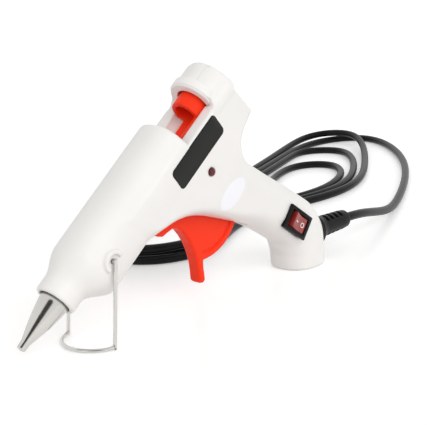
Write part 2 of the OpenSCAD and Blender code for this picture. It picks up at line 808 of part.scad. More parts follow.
module power_cord() {
    color("#1A1A1B")
        tube([for (i = [0 : hank_from]) cord[i]], cord_r, 10, [0, 0, 1], [1, 0, 0], hank_way);
}

module cord_hank() {
    color("#1A1A1B")
        tube([for (i = [hank_from : len(cord) - 1]) cord[i]], cord_r, 8, [0, 0, 1], hank_way, plug_way);
}

module plug_frame() {
    translate(plug_at)
        rotate([0, 0, plug_turn])
            children();
}

module plug_body() {
    color("#1D1D1E") plug_frame()
        union() {
            translate([0, 0, 0])
                rotate([0, 90, 0])
                    cylinder(h = 12, r1 = 2.8, r2 = 3.8);
            translate([12, -8, -5.5])
                cube([16, 16, 11]);
            translate([28, -9.5, -5.5])
                cube([4, 19, 11]);
        }
}

module plug_pins() {
    color("#C9CBCE") plug_frame()
        for (y = [-6.35, 6.35])
            translate([32, y - 0.75, -3.2])
                cube([16, 1.5, 6.4]);
}

left_shell();
right_shell();
rear_collar();
nozzle();
nozzle_seal();
melt_chamber();
ptc_heater();
heater_electrodes();
heater_film();
inlet_sleeve();
sleeve_clip();
stick_carriage();
stick_gripper();
trigger();
trigger_pin();
return_spring();
wire_stand();
switch_body();
switch_rocker();
switch_terminals();
pilot_lamp();
lamp_resistor();
live_wire();
heater_wire();
neutral_wire();
shell_screws();
strain_relief();
power_cord();
cord_hank();
plug_body();
plug_pins();
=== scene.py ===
# Mini hot glue gun on its wire foot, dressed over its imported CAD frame.
# Gun frame: x rearward along the stick axis from the nozzle tip, z square to it, millimetres.
# World frame: metres, floor at z = 0, nozzle towards -X, label and switch side towards -Y.

import functools
import math

import bmesh
import bpy
import numpy as np
from mathutils import Matrix

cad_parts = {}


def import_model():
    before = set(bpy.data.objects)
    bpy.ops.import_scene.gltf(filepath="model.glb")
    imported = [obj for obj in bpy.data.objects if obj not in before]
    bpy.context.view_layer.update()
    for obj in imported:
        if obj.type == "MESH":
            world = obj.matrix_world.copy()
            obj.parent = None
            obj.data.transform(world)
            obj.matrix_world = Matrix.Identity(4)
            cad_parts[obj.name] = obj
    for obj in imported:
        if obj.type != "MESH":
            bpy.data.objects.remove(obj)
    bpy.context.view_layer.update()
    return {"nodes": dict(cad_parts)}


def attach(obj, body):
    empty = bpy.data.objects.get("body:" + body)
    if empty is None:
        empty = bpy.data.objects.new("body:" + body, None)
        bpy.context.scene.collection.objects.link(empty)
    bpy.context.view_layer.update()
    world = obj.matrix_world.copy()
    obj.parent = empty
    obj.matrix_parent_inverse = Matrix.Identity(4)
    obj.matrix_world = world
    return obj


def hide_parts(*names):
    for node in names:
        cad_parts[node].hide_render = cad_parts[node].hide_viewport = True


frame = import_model()
nodes = frame["nodes"]

# Sizes shared with the part's source
MM = 0.001
PITCH = math.radians(38.5)
TIP_Z = 7.0
FOOT_REACH = 148.0
HEEL_R = 11.3
TIP_R = 1.5
ORIGIN_X = (FOOT_REACH + HEEL_R - TIP_R * math.sin(PITCH)) / 2
CORD_R = 2.05
RELIEF_Z = 12.8
RELIEF_L = 22.5
WIRE_R = 0.75


def world(p):
    """Gun-frame millimetres to world metres: turn by the pitch about Y, then shift."""
    p = np.asarray(p, float)
    c, s = math.cos(PITCH), math.sin(PITCH)
    x, y, z = p[..., 0], p[..., 1], p[..., 2]
    return np.stack([x * c - z * s - ORIGIN_X, y, x * s + z * c + TIP_Z], -1) * MM


def gun(dx, z):
    """Floor place (distance from the tip, height) to gun-frame x and z, both in millimetres."""
    c, s = math.cos(PITCH), math.sin(PITCH)
    return [dx * c + (z - TIP_Z) * s, (z - TIP_Z) * c - dx * s]


# Colour and material helpers: the size in mm of the colour's drift and the depth of the bump in metres
DRIFT = 28
BUMP_DEPTH = 0.05 * MM


def srgb(code):
    """Linear colour of an sRGB hex code, by the sRGB curve on each channel."""
    v = np.array([int(code[i : i + 2], 16) for i in (1, 3, 5)]) / 255
    v = np.where(v <= 0.04045, v / 12.92, ((v + 0.055) / 1.055) ** 2.4)
    return (*v, 1.0)


def add(mat, kind, values=None, links=None, **settings):
    """Adds a node of that kind, with its settings, its socket values and its incoming links."""
    n = mat.node_tree.nodes.new("ShaderNode" + kind)
    for k, v in settings.items():
        setattr(n, k, v)
    for k, v in (values or {}).items():
        n.inputs[k].default_value = v
    for k, v in (links or {}).items():
        mat.node_tree.links.new(v, n.inputs[k])
    return n


def new_material(name, **sockets):
    """A material with only its shader, whose fixed values sit on the shader's own sockets."""
    mat = bpy.data.materials.new(name)
    mat.use_nodes = True
    shader = mat.node_tree.nodes["Principled BSDF"]
    for k, v in sockets.items():
        shader.inputs[k.replace("_", " ")].default_value = v
    return mat, shader


def per_mm(size):
    """Texture scale on Object coordinates, which are metres, for a feature of that size in mm."""
    return 1.0 / (size * MM)


def join(mat, a, b):
    """Links an output socket to an input socket."""
    mat.node_tree.links.new(a, b)


def grained(name, colours, roughness, feature, bump, spread=0.06, **sockets):
    """Moulded or cast surface: colour drifts between two tones over a broad noise, and a fine noise
    of the given size in mm varies the roughness and raises the bump."""
    mat, shader = new_material(name, **sockets)
    place = add(mat, "TexCoord").outputs["Object"]
    broad = add(mat, "TexNoise", {"Scale": per_mm(DRIFT), "Detail": 3.0}, {"Vector": place})
    fine = add(mat, "TexNoise", {"Scale": per_mm(feature), "Detail": 4.0}, {"Vector": place})
    tone = add(mat, "ValToRGB", None, {"Fac": broad.outputs["Fac"]})
    tone.color_ramp.elements[0].position = 0.3
    tone.color_ramp.elements[0].color = srgb(colours[0])
    tone.color_ramp.elements[1].position = 0.7
    tone.color_ramp.elements[1].color = srgb(colours[1])
    join(mat, tone.outputs["Color"], shader.inputs["Base Color"])
    rough = add(
        mat,
        "MapRange",
        {"To Min": roughness - spread, "To Max": roughness + spread},
        {"Value": fine.outputs["Fac"]},
    )
    join(mat, rough.outputs["Result"], shader.inputs["Roughness"])
    lift = add(
        mat, "Bump", {"Strength": bump, "Distance": BUMP_DEPTH}, {"Height": fine.outputs["Fac"]}
    )
    join(mat, lift.outputs["Normal"], shader.inputs["Normal"])
    return mat


# ABS, moulded in a polished tool: warm white, glossy, faintly uneven where it shrank
abs_white = grained("moulded_white_abs", ("#EDEBE8", "#F2F0ED"), 0.34, 1.6, 0.04, 0.04, IOR=1.5)
# ABS in signal orange for the trigger and carriage: saturated, satin
abs_orange = grained(
    "moulded_orange_abs", ("#F7300C", "#FD3810"), 0.46, 0.9, 0.06, Specular_IOR_Level=0.25
)
# PVC cord jacket: soft black with a dull sheen
pvc_black = grained(
    "extruded_black_pvc", ("#0B0B0C", "#111112"), 0.33, 0.8, 0.06, Specular_IOR_Level=0.16
)
# Nylon for switch housing: deep black, satin
nylon_black = grained(
    "moulded_black_nylon", ("#0D0D0E", "#131314"), 0.4, 0.7, 0.08, Specular_IOR_Level=0.16
)
# Polycarbonate rocker: dark red, glossy
rocker_red = grained("tinted_red_polycarbonate", ("#8C2A26", "#A0352F"), 0.25, 0.9, 0.05, IOR=1.58)
# Acrylic lamp lens: dark wine red, glossy
lens_red = grained("tinted_lens_acrylic", ("#4E0F1A", "#641622"), 0.12, 1.2, 0.03, IOR=1.49)
# Nickel plated brass and steel, drawn or turned
steel_wire = grained("bright_steel_wire", ("#C9C8C5", "#DAD9D6"), 0.2, 0.5, 0.1, Metallic=1.0)
plated = grained("turned_plated_brass", ("#BDBBB8", "#D2D0CC"), 0.16, 0.6, 0.08, Metallic=1.0)
zinc = grained("cast_zinc_aluminium", ("#A5A8AC", "#B5B8BC"), 0.45, 0.8, 0.25, Metallic=1.0)
brass = grained("stamped_brass", ("#B98F45", "#CCA258"), 0.35, 0.8, 0.15, Metallic=1.0)
silicone_red = grained("moulded_red_silicone", ("#A53E31", "#B74C3E"), 0.6, 0.6, 0.2, IOR=1.41)
silicone_pale = grained("moulded_pale_silicone", ("#CFCBC2", "#DBD7CF"), 0.6, 0.6, 0.2, IOR=1.41)
ceramic = grained("pressed_grey_ceramic", ("#66625E", "#77726D"), 0.7, 0.4, 0.3, IOR=1.7)
film_amber = grained("amber_polyimide_film", ("#A9692A", "#BB7A35"), 0.3, 1.0, 0.05, IOR=1.7)
resistor_tan = grained("dipped_tan_lacquer", ("#94875F", "#A69A73"), 0.4, 0.6, 0.15, IOR=1.5)
pvc_brown = grained("brown_pvc_insulation", ("#52331D", "#613F27"), 0.45, 0.6, 0.1, IOR=1.52)
pvc_red = grained("red_pvc_insulation", ("#A33529", "#B63F33"), 0.45, 0.6, 0.1, IOR=1.52)
label_dark = grained(
    "printed_label_film", ("#191918", "#20201F"), 0.4, 1.0, 0.04, Specular_IOR_Level=0.2
)
sticker_pale = grained("pale_paper_sticker", ("#F4F4F9", "#F9F9FC"), 0.4, 1.0, 0.04, IOR=1.5)
mark_white = grained("white_marking_ink", ("#E6DEDC", "#EEE8E6"), 0.5, 0.6, 0.05, IOR=1.5)
pvc_blue = grained("blue_pvc_insulation", ("#28558F", "#3465A6"), 0.45, 0.6, 0.1, IOR=1.52)

node_finish = {
    "left_shell": abs_white,
    "right_shell": abs_white,
    "rear_collar": abs_white,
    "nozzle": plated,
    "nozzle_seal": silicone_red,
    "melt_chamber": zinc,
    "ptc_heater": ceramic,
    "heater_electrodes": brass,
    "heater_film": film_amber,
    "inlet_sleeve": silicone_pale,
    "sleeve_clip": steel_wire,
    "stick_carriage": abs_orange,
    "stick_gripper": steel_wire,
    "trigger": abs_orange,
    "trigger_pin": steel_wire,
    "return_spring": steel_wire,
    "wire_stand": steel_wire,
    "switch_body": nylon_black,
    "switch_rocker": rocker_red,
    "switch_terminals": brass,
    "pilot_lamp": lens_red,
    "lamp_resistor": resistor_tan,
    "live_wire": pvc_brown,
    "heater_wire": pvc_red,
    "neutral_wire": pvc_blue,
    "shell_screws": steel_wire,
    "strain_relief": pvc_black,
    "power_cord": pvc_black,
    "cord_hank": pvc_black,
    "plug_body": pvc_black,
    "plug_pins": plated,
}
for name, finish in node_finish.items():
    nodes[name].data.materials.clear()
    nodes[name].data.materials.append(finish)


# Mesh helpers


def mesh_piece(name, verts, faces, finish, body):
    """Puts arrays of points (world metres) and quads into a smooth mesh that rides on a body."""
    verts = np.ascontiguousarray(verts, np.float32)
    faces = np.ascontiguousarray(faces, np.int32)
    mesh = bpy.data.meshes.new(name)
    mesh.vertices.add(len(verts))
    mesh.vertices.foreach_set("co", verts.ravel())
    mesh.loops.add(faces.size)
    mesh.loops.foreach_set("vertex_index", faces.ravel())
    mesh.polygons.add(len(faces))
    mesh.polygons.foreach_set("loop_start", np.arange(len(faces), dtype=np.int32) * faces.shape[1])
    mesh.update(calc_edges=True)
    mesh.validate()
    mesh.shade_smooth()
    mesh.materials.append(finish)
    obj = bpy.data.objects.new(name, mesh)
    bpy.context.scene.collection.objects.link(obj)
    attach(obj, body)
    return obj


def lattice(rows, cols, wrap=True):
    """Quads of a rows by cols grid of points, closed round the columns where wrap is true."""
    i, k = np.meshgrid(np.arange(rows - 1), np.arange(cols if wrap else cols - 1), indexing="ij")
    a = i * cols + k
    b = i * cols + (k + 1) % cols
    return np.stack([a, b, b + cols, a + cols], -1).reshape(-1, 4)


def through(points, steps):
    """Smooth line through points: a Catmull-Rom cubic between each pair, with that many steps."""
    p = np.asarray(points, float)
    q = np.vstack([p[:1], p, p[-1:]])
    t = (np.arange(steps) / steps)[None, :, None]
    a, b, c, d = (q[i : len(q) - 3 + i, None, :] for i in range(4))
    s = 0.5 * (
        2 * b
        + (c - a) * t
        + (2 * a - 5 * b + 4 * c - d) * t**2
        + (3 * b - a - 3 * c + d) * t**3
    )
    return np.vstack([s.reshape(-1, p.shape[1]), p[-1:]])


def tube(path, radius, sides, end_in=0.25, ref=(0.0, 0.0, 1.0)):
    """A round profile carried along a path. The frame turns with the path by projecting the fixed
    direction ref off each tangent, and each end closes on rings that shrink to a small cap."""
    path = np.asarray(path, float)
    tangent = np.gradient(path, axis=0)
    tangent /= np.linalg.norm(tangent, axis=1)[:, None]
    side = np.cross(tangent, np.asarray(ref, float))
    side /= np.linalg.norm(side, axis=1)[:, None]
    up = np.cross(side, tangent)
    n = len(path)
    at = np.r_[0, 0, np.arange(n), n - 1, n - 1]
    size = np.r_[0.02, 1 - end_in, np.ones(n), 1 - end_in, 0.02] * radius
    a = 2 * np.pi * np.arange(sides) / sides
    ring = np.cos(a)[None, :, None] * side[at, None] + np.sin(a)[None, :, None] * up[at, None]
    points = path[at, None] + size[:, None, None] * ring
    return points.reshape(-1, 3), lattice(len(at), sides)[:, ::-1]


# Shells: one field in gun millimetres, below zero in the plastic, meshed by surface nets
NOSE_X = 21.0
NOSE_R = 8.0
SHOULDER_X = 26.5
SHOULDER_LEN = 11.5
BARREL_TOP = 10.5
BARREL_BOTTOM = 15.9
BARREL_HALF = 12.5
BODY_HALF = 12.15
SECTION = 2.3
ARCH_EDGE = 5.0
HANDLE_FRONT_EDGE = 10.8
TOP_REAR_EDGE = 2.6
BEAK_EDGE = 5.0
HANDLE_REAR_EDGE = 10.4
HAND_HALF = 11.15
WINDOW_X = 97.3
LEDGE_Z = -0.3
LEDGE_T = 1.8
LEDGE_ROUND = 1.5
HOOD_HALF = 11.4
HOOD_TOP = 9.2
HOOD_L = 13.1
TROUGH_R = 6.6
TROUGH_WALL = 1.8
TROUGH_L = 21
COLLAR_X = 117.0
FLANGE_R = 10.9
COLLAR_R = 9.4
WALL = 2.2
PIVOT = (84.0, -17.0)
SLOT_HALF = 3.9
POST_R = 2.8
BOSS_R = 3.6
SCREWS = ((74, -9.8), (106, -21), (110.5, -56), (113, -88))
SCREW_CLEAR_R = 1.5
SCREW_HEAD_R = 2.2
SCREW_HEAD_Y = 7
SCREW_PILOT_R = 1.35
SCREW_PILOT_END = 8.2
STAND_HOLE = (43.2, -2.0)
STAND_HALF = 13.6
LAMP_AT = (98.2, -17.2)
LAMP_HOLE_R = 1.75
SWITCH_AT = (116.6, -72.0)
SWITCH_TURN = math.radians(75.4)
SWITCH_HOLE = (6.7, 4.7)
SINK_MARKS = ((36.0, 7.5), (77.5, -8.0))
SINK_DEPTH = 0.16
SINK_SPREAD = 5.0
CHAMBER_X = 30.5
NOSE_BORE_R = 6.3
PIN_R = 1.55
SLOT_FRONT = 64.5
SLOT_TOP = -12.6
SEAT_WALL = 1.7
SEAT_GAP = 0.12
FLANGE_SEAT = (-1.8, 5.9)
TUBE_SEAT_L = 12.2
RELIEF_BORE_R = 4.3
RIB_R = 3.75
RIB_HALF = 0.85
BARREL_END = 112

# Side outline of body and handle, front edge and rear edge from the top down
FRONT_EDGE = through(
    np.array(
        [[56, 8], [56, 0.3], [58, -8], [62, -14], [68, -17], [74, -19.8], [80, -24.2], [86, -31],
         [92, -40.5], [97.5, -50], [102, -58.5], [105, -66.5], [107.5, -74.5], [108.8, -80],
         gun(136.7, 7.3), gun(136.9, 4), gun(137.2, -6)]), 5)
REAR_EDGE = through(
    np.array(
        [[128.6, 8], [129.7, 0.3], [131.2, -8], [132.2, -14], [132.7, -17.3], [131.4, -19.5],
         [127, -20.8], [121.5, -22.6], [118.2, -26.5], [117.8, -33], [120.5, -42], [124, -52.5],
         [127, -61], [130, -70.5], [132.2, -79.5], gun(158.3, 18), gun(159.3, 8),
         gun(159.2, -6)]), 5)
SLOT_BACK = np.array(
    [[90.5, 8], [90.5, -12.6], [95, -32], [103, -44], [104.5, -54.5], [99.5, -58], [85, -62]])


def mix(a, b, t):
    """From a to b as t goes from 0 to 1."""
    return a + (b - a) * t


def ease(t):
    """A smooth step from 0 to 1."""
    t = np.clip(t, 0, 1)
    return t * t * (3 - 2 * t)


def below(z, start, length):
    """A smooth step from 0 to 1 over a length downwards that starts so far below the stick axis."""
    return ease((-z - start) / length)


def soft_max(a, b, k):
    """The larger of two fields, the edge between them rounded over about k millimetres."""
    h = np.clip(0.5 - 0.5 * (b - a) / k, 0, 1)
    return mix(b, a, h) + k * h * (1 - h)


def soft_min(a, b, k):
    """The smaller of two fields, the edge between them rounded over about k millimetres."""
    return -soft_max(-a, -b, k)


def most(*fields):
    """Where all of these fields meet: the largest of them."""
    return functools.reduce(np.maximum, fields)


def least(*fields):
    """All of these fields together: the smallest of them."""
    return functools.reduce(np.minimum, fields)


def edge_distance(line, x, z):
    """Distance to an open line of points, above zero on its left as it runs downwards in z."""
    best = np.full(x.shape, 1e9)
    sign = np.ones(x.shape)
    for a, b in zip(line[:-1], line[1:]):
        d = b - a
        t = np.clip(((x - a[0]) * d[0] + (z - a[1]) * d[1]) / (d @ d), 0, 1)
        gx, gz = x - a[0] - t * d[0], z - a[1] - t * d[1]
        q = gx * gx + gz * gz
        near = q < best
        best = np.where(near, q, best)
        sign = np.where(near, np.where(d[0] * gz - d[1] * gx < 0, -1.0, 1.0), sign)
    return sign * np.sqrt(best)


# Distances to the three edges, worked out once on a fine grid and looked up between its points
LOOKUP_STEP = 0.4
lookup_x = np.arange(16, 140, LOOKUP_STEP)
lookup_z = np.arange(-112, 18, LOOKUP_STEP)
side_grid = np.meshgrid(lookup_x, lookup_z, indexing="ij")
front_table = edge_distance(FRONT_EDGE, *side_grid)
rear_table = -edge_distance(REAR_EDGE, *side_grid)
slot_table = edge_distance(SLOT_BACK, *side_grid)


def look_up(table, x, z):
    """Value of a grid at places between its points, by straight lines in x and then in z."""
    u = np.clip((x - lookup_x[0]) / LOOKUP_STEP, 0, len(lookup_x) - 1.001)
    v = np.clip((z - lookup_z[0]) / LOOKUP_STEP, 0, len(lookup_z) - 1.001)
    i, k = u.astype(int), v.astype(int)
    u, v = u - i, v - k
    low = mix(table[i, k], table[i + 1, k], u)
    return mix(low, mix(table[i, k + 1], table[i + 1, k + 1], u), v)


def rounded(parts, e):
    """Distance-like field of a superellipse: each part is (share of its half size, half size)."""
    shares = [np.maximum(p, 1e-6) for p, _ in parts]
    q = sum(p**e for p in shares) ** (1 / e)
    slope = sum((p ** (e - 1) / h) ** 2 for p, (_, h) in zip(shares, parts)) ** 0.5 / q ** (e - 1)
    return (q - 1) / np.maximum(slope, 0.05)


def barrel_field(x, y, z):
    """Barrel: a round nose that widens at the shoulder to a fuller section, then to the body's width."""
    t = ease((x - SHOULDER_X) / SHOULDER_LEN)
    u = ease((x - 82) / 28)
    top, bottom = mix(NOSE_R, BARREL_TOP, t), mix(NOSE_R, BARREL_BOTTOM, t)
    half = mix(NOSE_R, mix(BARREL_HALF, BODY_HALF - 0.25, u), t)
    high = (top + bottom) / 2
    middle = (top - bottom) / 2
    shares = [(np.abs(y) / half, half), (np.abs(z - middle) / high, high)]
    return rounded(shares, mix(2, SECTION, t))


def grip_field(x, y, z):
    """Body and handle: a rounded section between the two edges. The arch over the trigger has a
    tighter edge than the handle below it."""
    half = mix(BODY_HALF, HAND_HALF, below(z, 24, 40))
    front = mix(ARCH_EDGE, HANDLE_FRONT_EDGE, below(z, 40, 30))
    beak = mix(TOP_REAR_EDGE, BEAK_EDGE, below(z, 4, 14))
    rear = mix(beak, HANDLE_REAR_EDGE, below(z, 16, 30))
    shares = [
        (np.abs(y) / half, half),
        (np.maximum(1 - look_up(front_table, x, z) / front, 0), front),
        (np.maximum(1 - look_up(rear_table, x, z) / rear, 0), rear),
    ]
    return rounded(shares, SECTION)


def height(x, z):
    """World height in millimetres of a gun-frame place."""
    return x * math.sin(PITCH) + z * math.cos(PITCH) + TIP_Z


def outer_field(x, y, z):
    """Outside of the two shells together, with two sink marks."""
    barrel = soft_max(soft_max(barrel_field(x, y, z), NOSE_X - x, 1.4), x - BARREL_END, 1.0)
    grip = soft_max(soft_max(grip_field(x, y, z), z - 1.5, 1.0), -height(x, z), 1.6)
    sinks = sum(np.exp(-((x - a) ** 2 + (z - b) ** 2) / SINK_SPREAD) for a, b in SINK_MARKS)
    return soft_min(barrel, grip, 2.0) + SINK_DEPTH * sinks


def inner_field(x, y, z):
    """Hollow of the two shells together."""
    barrel = most(barrel_field(x, y, z) + WALL, CHAMBER_X - x, x - WINDOW_X)
    grip = most(grip_field(x, y, z) + WALL, z - LEDGE_Z + LEDGE_T, WALL - height(x, z))
    return np.minimum(barrel, grip)


def from_pin(x, z, place):
    """Distance from an axis across the gun at that place."""
    return np.hypot(x - place[0], z - place[1])


def inside_field(x, y, z):
    """Trough under the carriage, saddle of the collar, screw posts and the trigger's bosses."""
    r = np.hypot(y, z)
    trough = most(r - TROUGH_R - TROUGH_WALL, WINDOW_X - x, x - COLLAR_X)
    front, rear = FLANGE_SEAT
    flange_seat = most(r - FLANGE_R - SEAT_WALL, COLLAR_X + front - x, x - COLLAR_X - rear)
    tube_seat = most(r - COLLAR_R - SEAT_WALL, COLLAR_X - x, x - COLLAR_X - TUBE_SEAT_L)
    seats = np.maximum(least(trough, flange_seat, tube_seat), z - LEDGE_Z)
    posts = [from_pin(x, z, q) - POST_R for q in SCREWS]
    boss = np.maximum(from_pin(x, z, PIVOT) - BOSS_R, SLOT_HALF - np.abs(y))
    return least(seats, boss, *posts)


def rib_field(x, y, z):
    """Raised rib over each stand hole."""
    r = from_pin(x, z, STAND_HOLE)
    arch = most(np.abs(r - RIB_R) - RIB_HALF, STAND_HOLE[1] - 0.7 - z)
    return soft_max(most(arch, 10.5 - np.abs(y)), np.abs(y) - STAND_HALF - 0.3, 0.5)


def hood_field(x, y, z):
    """Hood that rises beside the collar to the body's own width: a superellipse over the stick axis,
    bored a little inside the collar's wall so that no gap shows."""
    shares = [(np.abs(y) / HOOD_HALF, HOOD_HALF), (np.maximum(z, 0) / HOOD_TOP, HOOD_TOP)]
    over = rounded(shares, 2.0)
    ends = np.maximum(COLLAR_X + 0.3 - x, x - COLLAR_X - HOOD_L)
    bore = np.where(x < COLLAR_X + 4, FLANGE_R, COLLAR_R) - 0.4 - np.hypot(y, z)
    return most(soft_max(over, ends, 1.2), bore, LEDGE_Z - 1.5 - z)


def cut_field(x, y, z, side):
    """Bores, seats, slots and holes that are taken out of a shell half."""
    r = np.hypot(y, z)
    across = np.abs(y)
    turn_c, turn_s = math.cos(SWITCH_TURN), math.sin(SWITCH_TURN)
    switch_u = (x - SWITCH_AT[0]) * turn_c - (z - SWITCH_AT[1]) * turn_s
    switch_v = (x - SWITCH_AT[0]) * turn_s + (z - SWITCH_AT[1]) * turn_c
    world_x = x * math.cos(PITCH) - z * math.sin(PITCH)
    relief_r = np.hypot(y, height(x, z) - RELIEF_Z)
    cuts = [
        most(r - TROUGH_R, WINDOW_X - 1 - x, x - WINDOW_X - TROUGH_L),
        most(r - FLANGE_R - SEAT_GAP, COLLAR_X - 0.1 - x, x - COLLAR_X - 4.1),
        most(r - COLLAR_R - SEAT_GAP, COLLAR_X - x),
        most(r - NOSE_BORE_R, x - CHAMBER_X - 0.1),
        most(across - SLOT_HALF, z - SLOT_TOP, SLOT_FRONT - x, look_up(slot_table, x, z)),
        most(from_pin(x, z, PIVOT) - PIN_R - 0.01, across - 8.7),
        from_pin(x, z, STAND_HOLE) - WIRE_R - 0.2,
        most(relief_r - RELIEF_BORE_R, FOOT_REACH - 2 - world_x),
    ]
    for q in SCREWS:
        r = from_pin(x, z, q)
        if side > 0:
            cuts += [r - SCREW_CLEAR_R, most(r - SCREW_HEAD_R, SCREW_HEAD_Y - across)]
        else:
            cuts.append(most(r - SCREW_PILOT_R, across - SCREW_PILOT_END))
    if side < 0:
        cuts.append(most(from_pin(x, z, LAMP_AT) - LAMP_HOLE_R, 7 - across))
        cuts.append(
            most(np.abs(switch_u) - SWITCH_HOLE[0], np.abs(switch_v) - SWITCH_HOLE[1], 1 - across)
        )
    return least(*cuts)


def wall_field(x, y, z, side):
    """One half's plastic, with y measured outwards from the parting plane, before it is parted."""
    outer = outer_field(x, y, z)
    wall = np.maximum(outer, -inner_field(x, y, z))
    wall = np.minimum(wall, np.maximum(inside_field(x, y, z), outer + WALL / 2))
    wall = soft_max(wall, -most(WINDOW_X - x, LEDGE_Z - z), LEDGE_ROUND)
    wall = soft_min(wall, rib_field(x, y, z), 0.5)
    wall = soft_max(wall, -cut_field(x, y, z, side), 0.5)
    return soft_min(wall, hood_field(x, y, z), 3.0)


def surface_nets(field, low, high, step):
    """Quad mesh of a field's zero surface: one point in each grid cell that the surface crosses, at
    the mean of its edge crossings, then two Newton steps onto the field. Gives the points, the quads
    and each point's cell."""
    axes = [np.arange(a, b, step) for a, b in zip(low, high)]
    f = field(*np.meshgrid(*axes, indexing="ij")).astype(np.float32)
    cells = tuple(n - 1 for n in f.shape)
    total = np.zeros(cells + (3,), np.float32)
    count = np.zeros(cells, np.float32)
    crossings = []
    for axis in range(3):
        b, c = (axis + 1) % 3, (axis + 2) % 3
        f0 = np.take(f, range(cells[axis]), axis)
        f1 = np.take(f, range(1, cells[axis] + 1), axis)
        hit = (f0 < 0) != (f1 < 0)
        t = np.where(hit, f0 / np.where(hit, f0 - f1, 1), 0)
        crossings.append((hit, f0 < 0))
        for db in (0, 1):
            for dc in (0, 1):
                cut = [slice(None)] * 3
                cut[b] = slice(db, cells[b] + db)
                cut[c] = slice(dc, cells[c] + dc)
                here = hit[tuple(cut)]
                count += here
                total[..., axis] += t[tuple(cut)]
                total[..., b] += here * db
                total[..., c] += here * dc
    mixed = count > 0
    index = np.full(cells, -1)
    index[mixed] = np.arange(mixed.sum())
    cell = np.argwhere(mixed)
    points = cell + total[mixed] / count[mixed][:, None]
    points = points * step + np.array(low)
    quads = []
    for axis, (hit, inside) in enumerate(crossings):
        b, c = (axis + 1) % 3, (axis + 2) % 3
        at = np.argwhere(hit)
        at = at[(at[:, b] > 0) & (at[:, c] > 0) & (at[:, b] < cells[b]) & (at[:, c] < cells[c])]
        corners = []
        for db, dc in ((1, 1), (0, 1), (0, 0), (1, 0)):
            q = at.copy()
            q[:, b] -= db
            q[:, c] -= dc
            corners.append(index[tuple(q.T)])
        quad = np.stack(corners, -1)
        flip = ~inside[tuple(at.T)]
        quad[flip] = quad[flip][:, ::-1]
        quads.append(quad)
    for _ in range(2):
        points -= newton_step(field, points, 0.6 * step)
    return points, np.vstack(quads), cell


def newton_step(field, points, reach):
    """Step from points towards the field's zero surface, no longer than reach."""
    h = 0.05
    value = field(*points.T)
    slope = np.stack(
        [
            (field(*(points + d).T) - field(*(points - d).T)) / (2 * h)
            for d in np.eye(3) * h
        ],
        -1,
    )
    step = slope * (value / np.maximum((slope**2).sum(-1), 0.2))[:, None]
    size = np.linalg.norm(step, axis=1)
    return step * np.minimum(1, reach / np.maximum(size, 1e-9))[:, None]


def part_crisply(points, layer, wall):
    """Sets a layer of points onto the parting plane, and those of them at the wall's edge onto the wall
    as well, so that both halves meet edge to edge. Gives the mask of the edge points."""
    flat = points[layer] * [1, 0, 1]
    close = np.abs(wall(*flat.T)) < EDGE_REACH
    for _ in range(3):
        flat -= newton_step(wall, flat, EDGE_REACH) * [1, 0, 1] * close[:, None]
    points[layer] = flat
    edge = layer.copy()
    edge[layer] = close
    return edge


def sharpen(obj, edge):
    """Marks the mesh edges between the masked points as sharp."""
    ends = np.empty(2 * len(obj.data.edges), np.int32)
    obj.data.edges.foreach_get("vertices", ends)
    obj.data.edges.foreach_set("use_edge_sharp", edge[ends.reshape(-1, 2)].all(1))


SHELL_STEP = 0.6
SHELL_LOW = (19.7, -0.75, -106.3)
SHELL_HIGH = (135.5, 15, 12.6)
PARTING = 0.02
PARTING_LAYER = int((PARTING - SHELL_LOW[1]) / SHELL_STEP)
EDGE_REACH = 0.42
for node, side in (("left_shell", -1), ("right_shell", 1)):
    wall = functools.partial(wall_field, side=side)
    points, quads, cell = surface_nets(
        lambda x, y, z: np.maximum(wall(x, y, z), PARTING - y), SHELL_LOW, SHELL_HIGH, SHELL_STEP
    )
    edge = part_crisply(points, cell[:, 1] == PARTING_LAYER, wall)
    points[:, 1] *= side
    placed = world(points)
    placed[:, 2] = np.maximum(placed[:, 2], 0)
    faces = quads if side > 0 else quads[:, ::-1]
    half = mesh_piece(node + "_moulding", placed, faces, abs_white, "gun")
    sharpen(half, edge)
    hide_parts(node)


# Trigger: the same outline as the solid's, with rounded edges, a raised rim and a groove beside it
FAN_C = np.array([89.4, -29.4])
FAN_R = 22.0
TRIGGER_HALF = 3.0
RIM_HALF = 3.4
RIM_W = 2.4
RIM_SPAN = (76.5, 99.3)
RIM_TOP = -47
GROOVE_FROM = 77.5
GROOVE_TOP = -40
GROOVE_HALF = 0.35
GROOVE_DEPTH = 0.45
HUB_R = 4.2
ARM_R = 9.5
ARM_HALF = 2.5
HEAD_R = 1.6
SQUEEZE = math.radians(28)
LEVER = [[66.8, -18], [67.6, -21.4], [69, -23.2], [71.6, -24], [74.4, -25], [76, -26.8], [76.7, -29.6],
         [76.6, -33], [76, -37.2], [74.7, -41.4], [72.8, -45.4], [70.5, -48.9], [68.4, -51.7],
         [68.5, -53], [69.6, -54.1], [71, -54], [72.1, -52.6], [73.8, -50], [75.8, -47.5]]
FAN = [FAN_C + FAN_R * np.array([math.cos(a), math.sin(a)]) for a in np.radians(np.arange(236, 293, 4))]
TRIGGER_BACK = [[99.6, -47.5], [97, -38], [92.6, -26], [88.4, -16], [84, -13], [79.6, -15], [70, -15],
                [67.2, -16.4]]


def outline_distance(points, x, z):
    """Distance to a closed outline, below zero inside it."""
    best = np.full(x.shape, 1e9)
    inside = np.zeros(x.shape, bool)
    p = np.asarray(points, float)
    for a, b in zip(p, np.roll(p, -1, 0)):
        d = b - a
        t = np.clip(((x - a[0]) * d[0] + (z - a[1]) * d[1]) / (d @ d), 0, 1)
        best = np.minimum(best, (x - a[0] - t * d[0]) ** 2 + (z - a[1] - t * d[1]) ** 2)
        crosses = (a[1] > z) != (b[1] > z)
        if d[1] != 0:
            inside ^= crosses & (x < a[0] + (z - a[1]) * d[0] / d[1])
    return np.where(inside, -1, 1) * np.sqrt(best)


